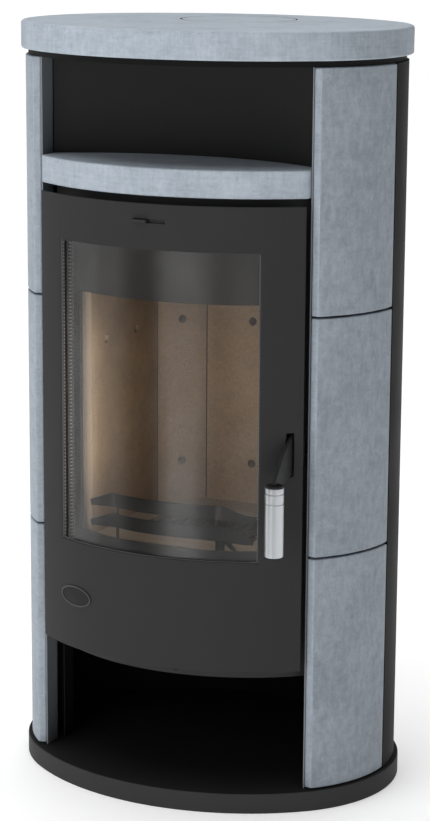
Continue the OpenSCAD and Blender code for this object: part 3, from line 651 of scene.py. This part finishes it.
# ---------------------------------------------------------------- CAD nodes that stay, with their finish
KEPT = {
    "levelling_feet": "zinc", "frame_post_left": "post", "frame_post_right": "post",
    "side_panel_left": "flange", "side_panel_right": "flange", "rear_shell": "casing",
    "rear_heat_shield": "zinc", "bay_roof": "inner", "front_plate": "front", "air_deflector": "front",
    "firebox_shell": "firesteel", "ash_box": "firesteel", "ash_pan": "pan", "firebox_sill": "firesteel",
    "fire_grate": "iron", "floor_bricks": "bfloor", "side_brick_left": "bside", "side_brick_right": "bside",
    "corner_brick_left": "bcorner", "corner_brick_right": "bcorner", "rear_brick": "brear",
    "smoke_baffle": "baffle", "flue_collar": "flue", "air_spigot": "zinc", "rear_outlet_cover": "casing",
    "niche_back": "niche", "shelf_support": "niche", "stone_pads": "felt", "top_tray": "tray_top",
    "hinge_brackets": "front", "hinge_pins": "zinc", "latch_keeper": "front", "door_frame": "frame",
    "glass_clips": "frame", "glass_gasket": "tape", "hinge_knuckles": "frame", "lever_bracket": "frame",
    "lever_axle": "zinc", "slider_guides": "frame", "air_slider": "front",
    "base_tray": "tray", "log_guard": "iron", "casing_screws": "screw", "badge_plate": "badge",
    "handle_lever": "lever", "handle_collar": "collar", "handle_grip": "grip", "flue_cover_disc": "disc",
    "top_slab": "slab", "shelf_stone": "shelf", "door_panel": "door", "door_glass": "glass", "door_seal": "rope",
    "stone_left_bottom": "leftbottom", "stone_left_middle": "leftmiddle", "stone_left_top": "lefttop",
    "stone_right_bottom": "rightbottom", "stone_right_middle": "rightmiddle", "stone_right_top": "righttop",
}
for node, o in NODES.items():
    o.data.materials.clear()
    o.data.materials.append(M[KEPT[node]])

# ---------------------------------------------------------------- top slab and cover disc
ANG = oval_angles()


def round_profile(r_in, r_out, z0, z1, f0, f1, n=4):
    """(distance, height) from the bottom edge up the side to the top edge, rounded."""
    out = [(-f0 + f0 * sin(radians(90 * i / n)), z0 + f0 - f0 * cos(radians(90 * i / n))) for i in range(n + 1)]
    out += [(-f1 + f1 * cos(radians(90 * i / n)), z1 - f1 + f1 * sin(radians(90 * i / n))) for i in range(n + 1)]
    return out


def oval_ring(d, z):
    return [(*oval(t, d), z) for t in ANG]


SLAB_R = 207.5
SLAB_C = 306.0 - SLAB_R


def slab_corner(d):
    """Front right corner of the slab's outline moved outwards by d: there a long arc meets an end arc."""
    r1, r2, dist = BR + d, SLAB_R + d, sqrt(SLAB_C ** 2 + BC ** 2)
    a = (r1 * r1 - r2 * r2 + dist * dist) / (2 * dist)
    h = sqrt(r1 * r1 - a * a)
    ux, uy = SLAB_C / dist, -BC / dist
    return a * ux - h * uy, BC + a * uy + h * ux


def slab_ring(d, z):
    """Closed outline: end arc, rear arc, end arc, front arc; each one starts in a corner."""
    cx, cy = slab_corner(d)
    end, long = degrees(atan2(-cy, cx - SLAB_C)), degrees(asin(cx / (BR + d)))
    out = []
    for c, r, a0, a1, n in (((SLAB_C, 0), SLAB_R + d, -end, end, 44), ((0, -BC), BR + d, 90 - long, 90 + long, 66),
                            ((-SLAB_C, 0), SLAB_R + d, 180 - end, 180 + end, 44), ((0, BC), BR + d, -90 - long, -90 + long, 66)):
        out += [(c[0] + r * cos(radians(a0 + (a1 - a0) * i / n)), c[1] + r * sin(radians(a0 + (a1 - a0) * i / n)), z) for i in range(n)]
    return out


def hole_ring(r, z):
    out = []
    for x, y, _ in slab_ring(0, 0):
        a = atan2(y - FLUE_Y, x)
        out.append((r * cos(a), FLUE_Y + r * sin(a), z))
    return out


bm = bmesh.new()
prof = round_profile(0, 0, 1128.5, H, 3.0, 4.5, 5)
rings = [hole_ring(80.0, 1150.0), hole_ring(80.0, 1128.9), hole_ring(80.6, 1128.5)]
rings += [slab_ring(d, z) for d, z in prof]
rings += [hole_ring(91.0, H), hole_ring(90.4, H - 0.35), hole_ring(90.0, H - 1.2), hole_ring(90.0, 1150.0)]
add_rings(bm, rings, closed=True)
KX, KY = slab_corner(0)


def at_corner(v):
    return abs(abs(v.x) - KX) < 2.6 and abs(abs(v.y) + KY) < 4.6


# the end faces past the front corners get the darker copy of the stone: painted shade
finish_mesh("slab_soapstone", bm, M["slab"], "stove_body", ["top_slab"],
            crease=lambda a, b: at_corner(a) and at_corner(b) and abs(a.z - b.z) > 0.05,
            second=(M["slab_end"], lambda c, n: abs(c.x) > KX - 0.5 and abs(n.z) < 0.75 and c.z > 1129),
            third=(M["joint"], lambda c, n: sqrt(c.x ** 2 + (c.y - FLUE_Y) ** 2) < 90.95 and c.z > 1150.5))

bm = bmesh.new()
f = 1.3
arc = [(88.8 - f + f * cos(radians(a)), H - f + f * sin(radians(a))) for a in (0, 22, 45, 68, 90)]
add_lathe(bm, [(0, H - 19.7), (87.8, H - 19.7), (88.8, H - 18.7)] + arc + [(60, H), (0, H)], 128, (0, FLUE_Y))
# the cover's side and rounded edge get the near-black stone: painted shade in the gap
finish_mesh("cover_disc_soapstone", bm, M["disc"], "flue_cover", ["flue_cover_disc"],
            second=(M["joint"], lambda c, n: n.z < 0.93 and sqrt(c.x ** 2 + (c.y - FLUE_Y) ** 2) > 87.0))

# ---------------------------------------------------------------- shelf
bm = bmesh.new()
R1 = BR - 13.5
a1 = degrees(asin(219.6 / R1))
outline = [(R1 * sin(radians(-a1 + 2 * a1 * i / 60)), BC - R1 * cos(radians(-a1 + 2 * a1 * i / 60))) for i in range(61)]
a2 = degrees(asin(219.6 / 407.4))
outline += [(407.4 * sin(radians(a2 - 2 * a2 * i / 48)), -456 + 407.4 * cos(radians(a2 - 2 * a2 * i / 48))) for i in range(49)]
add_prism(bm, outline, 931.0, 972.0)
bevel_sharp(bm, 6.0, 4, 30.0, lambda e: abs((e.verts[0].co - e.verts[1].co).z) > 20 and e.verts[0].co.y < -130)
bevel_sharp(bm, 2.6, 3, 30.0)
finish_mesh("shelf_soapstone_slab", bm, M["shelf"], "stove_body", ["shelf_stone"])

# ---------------------------------------------------------------- side stones
SO, SI = 198.7, 168.7


def stone_outline():
    # front bevel, outer arc, rear end, inner arc
    a0 = degrees(atan2(-146.94, 234.75 - SC))
    a_end = -3.75
    pts = [(222.9, -144.0)]
    pts += [(SC + SO * cos(radians(a0 + (a_end - a0) * i / 34)), SO * sin(radians(a0 + (a_end - a0) * i / 34))) for i in range(35)]
    a_in = -degrees(math.acos((222.9 - SC) / SI))
    pts += [(SC + SI * cos(radians(a_end + (a_in - a_end) * i / 28)), SI * sin(radians(a_end + (a_in - a_end) * i / 28))) for i in range(29)]
    return pts


for i, row in enumerate(("bottom", "middle", "top")):
    z0 = 33.0 + i * 363.0
    for side in ("right", "left"):
        bm = bmesh.new()
        add_prism(bm, stone_outline(), z0, z0 + 360.0)
        bevel_sharp(bm, 2.4, 3, 20.0)
        if side == "left":
            mirror_bm(bm)
        # the front bevel strip gets the paler stone: painted light
        finish_mesh("side_stone_%s_%s" % (side, row), bm, M[side + row], "stove_body",
                    ["stone_%s_%s" % (side, row)], angle=28,
                    second=(M["edge"], lambda c, n: n.y < -0.90 and c.y < -140))

# ---------------------------------------------------------------- base tray
bm = bmesh.new()
tray = [(-1.0 + sin(radians(a)), 1.0 - cos(radians(a))) for a in (0, 30, 60, 90)]
tray += [(-1.8 + 1.8 * cos(radians(a)), 31.0 - 1.8 + 1.8 * sin(radians(a))) for a in (0, 18, 36, 54, 72, 90)]
add_rings(bm, [oval_ring(d, z) for d, z in tray], cap0=True, cap1=True)
# the tray's upward face gets the darker paint: painted shade
finish_mesh("base_tray_pressed", bm, M["tray"], "stove_body", ["base_tray"],
            second=(M["tray_floor"], lambda c, n: n.z > 0.95))

# ---------------------------------------------------------------- door
STEP = 6.0
zs = [220.9, 391.0, 521.5, 587.5, 853.0, 892.5, 898.0, 920.5]
xs = [-213.0, -163.0, -23.0, 28.0, 163.0, 197.8, 208.2, 219.5]
bm = bmesh.new()
add_panel(bm, DOOR_R - DOOR_T, DOOR_R, between(xs, STEP), between(zs, 400.0),
          [(-163, 163, 391, 853), (197.8, 208.2, 521.5, 587.5), (-23, 28, 892.5, 898)])
bevel_sharp(bm, 2.9, 2, 55.0, lambda e: all(abs(abs(v.co.x) - 163) < 0.3 and 390 < v.co.z < 854 and
                                           v.co.x ** 2 + (v.co.y - CY) ** 2 > 359.5 ** 2 for v in e.verts))
bevel_sharp(bm, 0.9, 3, 62.0)
# the window's cut edges get the paler paint: painted highlight
finish_mesh("door_panel_sheet", bm, M["door"], "door", ["door_panel"],
            second=(M["rim"], lambda c, n: abs(n.x) > 0.6 and abs(c.x) < 163.6 and 390 < c.z < 854))
panel("window_pane", 350.0, 354.0, [-174.6, 174.6], [379.2, 865.8], M["glass"], "door",
      bevel=0.5, replaces=["door_glass"], step=STEP)

# woven seal: a rope swept round the door, with a braid pressed into its surface
bm = bmesh.new()
RR, RAD = 328.35, 6.55
ha, zb, zt, cr = asin(174.25 / 335.0) * RR, 371.0, 873.0, 15.0
path = []
for cx, cz, a0 in ((ha - cr, zb + cr, -90), (ha - cr, zt - cr, 0), (-ha + cr, zt - cr, 90), (-ha + cr, zb + cr, 180)):
    path += [(cx + cr * cos(radians(a0 + 90 * i / 10)), cz + cr * sin(radians(a0 + 90 * i / 10))) for i in range(11)]
dense, total = [], 0.0
n = len(path)
for i in range(n):
    (u0, w0), (u1, w1) = path[i], path[(i + 1) % n]
    length = sqrt((u1 - u0) ** 2 + (w1 - w0) ** 2)
    k = max(1, int(length / 1.0))
    for q in range(k):
        dense.append((u0 + (u1 - u0) * q / k, w0 + (w1 - w0) * q / k, total + length * q / k))
    total += length
turns = round(total / 8.4)
rings = []
N = 20
for i, (u, w, s) in enumerate(dense):
    (ua, wa, _), (ub, wb, _) = dense[i - 1], dense[(i + 1) % len(dense)]
    l = sqrt((ub - ua) ** 2 + (wb - wa) ** 2) or 1.0
    nu, nw = (wb - wa) / l, -(ub - ua) / l
    ring = []
    ph = 2 * pi * turns * s / total
    for q in range(N):
        a = 2 * pi * q / N
        braid = abs(sin((4 * a + ph) / 2)) * abs(sin((4 * a - ph) / 2))
        r = RAD * (0.84 + 0.16 * sqrt(braid))
        off, out_r = 0.80 * r * cos(a), RR + r * sin(a)
        uu, ww = u + nu * off, w + nw * off
        ang = uu / RR
        ring.append((out_r * sin(ang), CY - out_r * cos(ang), ww))
    rings.append(ring)
add_rings(bm, rings, closed=True)
finish_mesh("seal_rope_woven", bm, M["rope"], "door", ["door_seal"], angle=80)

# woven tape over the inner edge of the frame's flange: a thin ribbon with raised stitches on its edge
bm = bmesh.new()
for s_ in (-1, 1):
    xx = sorted((s_ * 169.9, s_ * 180.4))
    add_panel(bm, 338.05, 338.8, between(xx, 2.0), between([362.0, 880.0], 8.0), (), CY, 338.0)
    xx = sorted((s_ * 169.9, s_ * 170.9))
    add_panel(bm, 335.1, 338.0, xx, between([376.0, 866.0], 8.0), (), CY, 338.0)
for z in (362.0, 868.8):
    add_panel(bm, 338.05, 338.8, between([-170.0, 170.0], 6.0), [z, z + 7.0], (), CY, 338.0)
for s_ in (-1, 1):
    a = s_ * asin(169.9 / 338.0)
    for i in range(133):
        z, ring = 377.0 + 3.7 * i, []
        for q in range(8):
            r, w = 337.0 + 1.3 * cos(q * pi / 4), 1.35 * sin(q * pi / 4)
            ring.append(bm.verts.new((r * sin(a), CY - r * cos(a), z + w)))
        tip = a - s_ * 0.7 / 338.0
        top = bm.verts.new((337.0 * sin(tip), CY - 337.0 * cos(tip), z))
        for q in range(8):
            bm.faces.new((ring[q], ring[(q + 1) % 8], top))
        bm.faces.new(ring[::-1])
finish_mesh("frame_tape_woven", bm, M["band"], "door", angle=60, merge=0)

# badge: bare oval plate with a raised rim
bm = bmesh.new()
n = 72
rows = []
for scale, lift in ((1.0, 0.15), (1.0, 1.5), (0.975, 1.9), (0.945, 1.9), (0.925, 1.5), (0.915, 1.0), (0.5, 1.15), (0.1, 1.25)):
    ring = []
    for i in range(n):
        a = 2 * pi * i / n
        x, z = -134 + 31.5 * scale * cos(a), 305 + 16.0 * scale * sin(a)
        if scale > 0.9:
            x, z = -134 + (31.5 - (1 - scale) * 31.5) * cos(a), 305 + (16.0 - (1 - scale) * 31.5) * sin(a)
        r = DOOR_R + lift
        an = asin(x / DOOR_R)
        ring.append((r * sin(an), CY - r * cos(an), z))
    rows.append(ring)
add_rings(bm, rows, cap0=True, cap1=True)
finish_mesh("badge_bare_oval", bm, M["badge"], "door", ["badge_plate"], angle=50,
            second=(M["badge_rim"], lambda c, n: DOOR_R + 1.55 < sqrt(c.x ** 2 + (c.y - CY) ** 2)))

# ---------------------------------------------------------------- handle
bm = bmesh.new()
R, zt, zb = 14.1, 519.0, 414.4
prof = [(0, zb), (R - 1.6, zb), (R - 0.5, zb + 0.4), (R, zb + 1.6), (R, 493.8), (R - 0.25, 494.0), (R - 0.9, 494.15), (R - 0.9, 495.3), (R - 0.25, 495.45), (R, 495.65),
        (R, 508.7), (R - 0.25, 508.9), (R - 0.9, 509.05), (R - 0.9, 510.2), (R - 0.25, 510.35), (R, 510.55), (R, zt - 1.2), (R - 0.4, zt - 0.35), (R - 1.2, zt), (0, zt)]
add_lathe(bm, prof, 72, (203.0, -225.0))
finish_mesh("grip_steel_turned", bm, M["grip"], "door_handle", ["handle_grip"], angle=40)
bm = bmesh.new()
add_lathe(bm, [(0, 519.02), (12.6, 519.02), (12.6, 520.6), (12.1, 521.4), (11.0, 521.8), (0, 521.8)], 56, (203.0, -225.0))
finish_mesh("collar_black_turned", bm, M["collar"], "door_handle", ["handle_collar"], angle=40)

# ---------------------------------------------------------------- seams between the bricks
FX, FY = 141.0, 149.0
bm = bmesh.new()
for s_ in (-1, 1):
    for x0, x1, y0, y1 in ((FX - 60.7, FX - 58.9, FY - 0.4, FY + 6), (FX - 0.3, FX + 6, FY - 60.4, FY - 59.0)):
        xa, xb = sorted((s_ * x0, s_ * x1))
        add_prism(bm, [(xa, y0), (xb, y0), (xb, y1), (xa, y1)], 385.5, 799.5)
bevel_sharp(bm, 0.2, 2, 50.0)
finish_mesh("brick_seams", bm, M["seam"], "stove_body")

# ---------------------------------------------------------------- log guard
bm = bmesh.new()


def guard_z(x, base):
    ax = abs(x)
    top = base + 21.4 if ax <= 93 else base + 21.4 - (ax - 93) * (21.4 - 2.5) / 46.0
    if ax <= 90:
        bot = base
    elif ax <= 129:
        bot = base - 5.0 * (ax - 90) / 39.0
    elif ax <= 136:
        bot = base - 5.0 - 2.0 * (ax - 129) / 7.0
    else:
        bot = base - 7.0 + 9.5 * (ax - 136) / 3.0 * 0.85
    return bot, top


def guard_bar(base):
    xx = between([-139, -136, -129, -93, -90, 90, 93, 129, 136, 139], 6.0)
    rings = []
    for x in xx:
        b, t = guard_z(x, base)
        a = asin(x / 310.0)
        p = lambda r, z: (r * sin(a), CY - r * cos(a), z)
        rings.append([p(307.0, b), p(310.0, b), p(310.0, t), p(307.0, t)])
    add_rings(bm, rings, cap0=True, cap1=True)


guard_bar(442.6)
guard_bar(410.8)
bevel_sharp(bm, 0.9, 2, 50.0)
leg = [(0.5, 384.6), (17, 384.6), (17, 402), (36, 385.1), (43, 385.1), (17, 417), (17, 460), (0.5, 460)]
for s in (1, -1):
    b2 = bmesh.new()
    ang = atan2(28.5, 13.0)
    lo = [b2.verts.new((u, -1.5, z)) for u, z in leg]
    hi = [b2.verts.new((u, 1.5, z)) for u, z in leg]
    for i in range(len(leg)):
        j = (i + 1) % len(leg)
        b2.faces.new((lo[i], lo[j], hi[j], hi[i]))
    b2.faces.new(hi)
    b2.faces.new(lo[::-1])
    bevel_sharp(b2, 0.7, 2, 50.0)
    y0 = CY - sqrt(307.0 ** 2 - 83.0 ** 2) + 0.6
    for v in b2.verts:
        u, w = v.co.x, v.co.y
        v.co = Vector((s * (83 + u * cos(ang) - w * sin(ang)), y0 + u * sin(ang) + w * cos(ang), v.co.z))
    if s < 0:
        bmesh.ops.reverse_faces(b2, faces=b2.faces)
    tmp = bpy.data.meshes.new("tmp")
    b2.to_mesh(tmp)
    b2.free()
    bm.from_mesh(tmp)
    bpy.data.meshes.remove(tmp)
finish_mesh("log_guard_cast", bm, M["iron"], "stove_body", ["log_guard"], angle=35, merge=0)

# ---------------------------------------------------------------- stage
me = bpy.data.meshes.new("floor")
me.from_pydata([(-90, -90, 0), (90, -90, 0), (90, 90, 0), (-90, 90, 0)], [], [(0, 1, 2, 3)])
floor = bpy.data.objects.new("floor", me)
scene.collection.objects.link(floor)
t = Tree("pale_floor")
t.set(colour=t.ramp(t.noise(3.0, 3.0), [(0.3, (0.915, 0.915, 0.915)), (0.7, (0.93, 0.93, 0.93))]), rough=0.95, spec=0.05)
t.b.inputs["Emission Color"].default_value = (1.0, 1.0, 1.0, 1.0)
t.b.inputs["Emission Strength"].default_value = GLOW
t.m.cycles.emission_sampling = "NONE"
me.materials.append(t.m)
floor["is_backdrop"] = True

# pale backdrop far behind the floor, so that a low view sees no dark horizon
n = 96
vs = [(38 * cos(2 * pi * i / n), 38 * sin(2 * pi * i / n), z) for i in range(n) for z in (-0.01, 60.0)]
me = bpy.data.meshes.new("backdrop")
me.from_pydata(vs, [], [(2 * i, 2 * ((i + 1) % n), 2 * ((i + 1) % n) + 1, 2 * i + 1) for i in range(n)])
backdrop = bpy.data.objects.new("backdrop", me)
scene.collection.objects.link(backdrop)
t = Tree("pale_backdrop")
t.set(colour=t.ramp(t.noise(0.2, 2.0), [(0.3, (0.01, 0.01, 0.01)), (0.7, (0.02, 0.02, 0.02))]), rough=1.0, spec=0.0)
t.b.inputs["Emission Color"].default_value = (1.0, 1.0, 1.0, 1.0)
t.b.inputs["Emission Strength"].default_value = 1.0
t.m.cycles.emission_sampling = "NONE"
me.materials.append(t.m)
backdrop.visible_diffuse = False
backdrop.visible_glossy = False
backdrop.visible_transmission = False
backdrop.visible_shadow = False
backdrop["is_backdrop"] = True


def card(name, stops, dist, height, origin):
    """Studio card that stands on the floor and is only seen mirrored in glossy surfaces. stops: (azimuth,
    brightness) from one end to the other; it is as bright as the floor at its soft ends."""
    vs, fs, level = [], [], []
    for (a0, c0), (a1, c1) in zip(stops, stops[1:]):
        for i in range(8 if (a1, c1) != stops[-1] else 9):
            a = radians(a0 + (a1 - a0) * i / 8)
            x, y = origin[0] + dist * cos(a), origin[1] + dist * sin(a)
            vs += [(x, y, 0.002), (x, y, height)]
            level += [c0 + (c1 - c0) * i / 8] * 2
    for i in range(len(vs) // 2 - 1):
        fs.append((2 * i, 2 * i + 2, 2 * i + 3, 2 * i + 1))
    m = bpy.data.meshes.new(name)
    m.from_pydata(vs, [], fs)
    at = m.attributes.new("level", "FLOAT", "POINT")
    for i, c in enumerate(level):
        at.data[i].value = c
    o = bpy.data.objects.new(name, m)
    scene.collection.objects.link(o)
    t = Tree(name + "_cloth")
    at = t.t.nodes.new("ShaderNodeAttribute")
    at.attribute_name = "level"
    t.set(colour=t.ramp(t.noise(40.0, 3.0), [(0.3, (0.0, 0.0, 0.0)), (0.7, (0.01, 0.01, 0.01))]), rough=1.0, spec=0.0)
    t.b.inputs["Emission Color"].default_value = (1.0, 1.0, 1.0, 1.0)
    t.link(at.outputs["Fac"], t.b.inputs["Emission Strength"])
    t.m.cycles.emission_sampling = "NONE"
    m.materials.append(t.m)
    o.visible_camera = False
    o.visible_shadow = False
    o.visible_diffuse = False
    o.visible_transmission = False
    o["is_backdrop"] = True
    return o


card("card_left", [(-150, 0.66), (-137, 0.66), (-127, 0.10), (-114.5, 0.10), (-104, 0.98)], 1.25, 0.72, (-0.02, -0.22))
card("card_right", [(-93, 0.98), (-83, 0.36), (-76, 0.38), (-66, 0.64), (-40, 0.64)], 1.25, 0.72, (0.11, -0.20))

world = bpy.data.worlds.new("studio")
scene.world = world
world.use_nodes = True
wt = world.node_tree
bg = wt.nodes["Background"]
wco = wt.nodes.new("ShaderNodeTexCoord")
dot = wt.nodes.new("ShaderNodeVectorMath")
dot.operation = "DOT_PRODUCT"
dot.inputs[1].default_value = Vector((-0.30, 0.38, 0.86)).normalized()
wt.links.new(wco.outputs["Generated"], dot.inputs[0])
cap = wt.nodes.new("ShaderNodeMapRange")
cap.interpolation_type = "SMOOTHSTEP"
cap.inputs["From Min"].default_value = cos(radians(52))
cap.inputs["From Max"].default_value = cos(radians(30))
cap.inputs["To Min"].default_value = 0.0
cap.inputs["To Max"].default_value = CEILING
wt.links.new(dot.outputs["Value"], cap.inputs["Value"])
sep = wt.nodes.new("ShaderNodeSeparateXYZ")
wt.links.new(wco.outputs["Generated"], sep.inputs[0])
ring_ = wt.nodes.new("ShaderNodeMapRange")
ring_.interpolation_type = "SMOOTHSTEP"
ring_.inputs["From Min"].default_value = 0.05
ring_.inputs["From Max"].default_value = 0.16
ring_.inputs["To Min"].default_value = HORIZON
ring_.inputs["To Max"].default_value = ROOM
wt.links.new(sep.outputs[2], ring_.inputs["Value"])
both = wt.nodes.new("ShaderNodeMath")
both.operation = "ADD"
wt.links.new(cap.outputs[0], both.inputs[0])
wt.links.new(ring_.outputs[0], both.inputs[1])
bg.inputs["Color"].default_value = (1.0, 1.0, 1.0, 1.0)
wt.links.new(both.outputs[0], bg.inputs["Strength"])


def area(name, loc, target, sx, sy, power, colour=(1, 1, 1)):
    d = bpy.data.lights.new(name, "AREA")
    d.shape = "RECTANGLE"
    d.size, d.size_y = sx, sy
    d.energy = power
    d.color = colour
    o = bpy.data.objects.new(name, d)
    o.location = loc
    o.rotation_mode = "QUATERNION"
    o.rotation_quaternion = (Vector(target) - Vector(loc)).to_track_quat("-Z", "Y")
    o.visible_camera = False
    scene.collection.objects.link(o)
    return o


area("fill_front", (-0.45, -2.70, 1.25), (0, 0, 0.70), 1.8, 1.8, FRONT).visible_glossy = False
area("fill_high", (-1.3, -1.9, 2.4), (0, 0, 0.8), 1.5, 1.5, HIGH).visible_glossy = False
area("fill_right", (1.3, -2.6, 1.3), (0, 0, 0.7), 1.6, 1.6, RIGHT).visible_glossy = False
sun = bpy.data.lights.new("top_softbox", "SUN")
sun.energy = TOP
sun.angle = radians(60)
so = bpy.data.objects.new("top_softbox", sun)
so.location = (0, 0, 3)
so.visible_glossy = False
scene.collection.objects.link(so)
for side, x in (("left", -0.085), ("right", 0.085)):
    strip = area("near_glass_" + side, (x, -0.172, 0.585), (x * 2.6, -0.11, 0.585), 0.02, 0.30, NEAR, (1.0, 0.95, 0.88))
    strip.visible_glossy = False
lamp = bpy.data.lights.new("chamber_lamp", "POINT")
lamp.energy = LAMP
lamp.color = (1.0, 0.93, 0.84)
lamp.shadow_soft_size = 0.06
lo_ = bpy.data.objects.new("chamber_lamp", lamp)
lo_.location = (0.0, -0.06, 0.53)
lo_.visible_camera = False
lo_.visible_glossy = False
scene.collection.objects.link(lo_)

# ---------------------------------------------------------------- camera
cam = bpy.data.cameras.new("camera")
cam.lens = 105.98
cam.sensor_width = 36.0
cam.sensor_fit = "AUTO"
cam.clip_start, cam.clip_end = 0.1, 50.0
co = bpy.data.objects.new("camera", cam)
scene.collection.objects.link(co)
yaw, pitch, roll = 0.4336, 0.2151, 0.0064
fw = Vector((-sin(yaw) * cos(pitch), cos(yaw) * cos(pitch), -sin(pitch)))
rt = Vector((cos(yaw), sin(yaw), 0))
up = rt.cross(fw)
rt2 = cos(roll) * rt + sin(roll) * up
up2 = -sin(roll) * rt + cos(roll) * up
m3 = Matrix((rt2, up2, -fw)).transposed()
co.matrix_world = Matrix.Translation((1.5532, -3.3484, 1.3753)) @ m3.to_4x4()
scene.camera = co
scene.view_settings.view_transform = "Standard"
scene.view_settings.look = "None"

lo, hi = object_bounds()
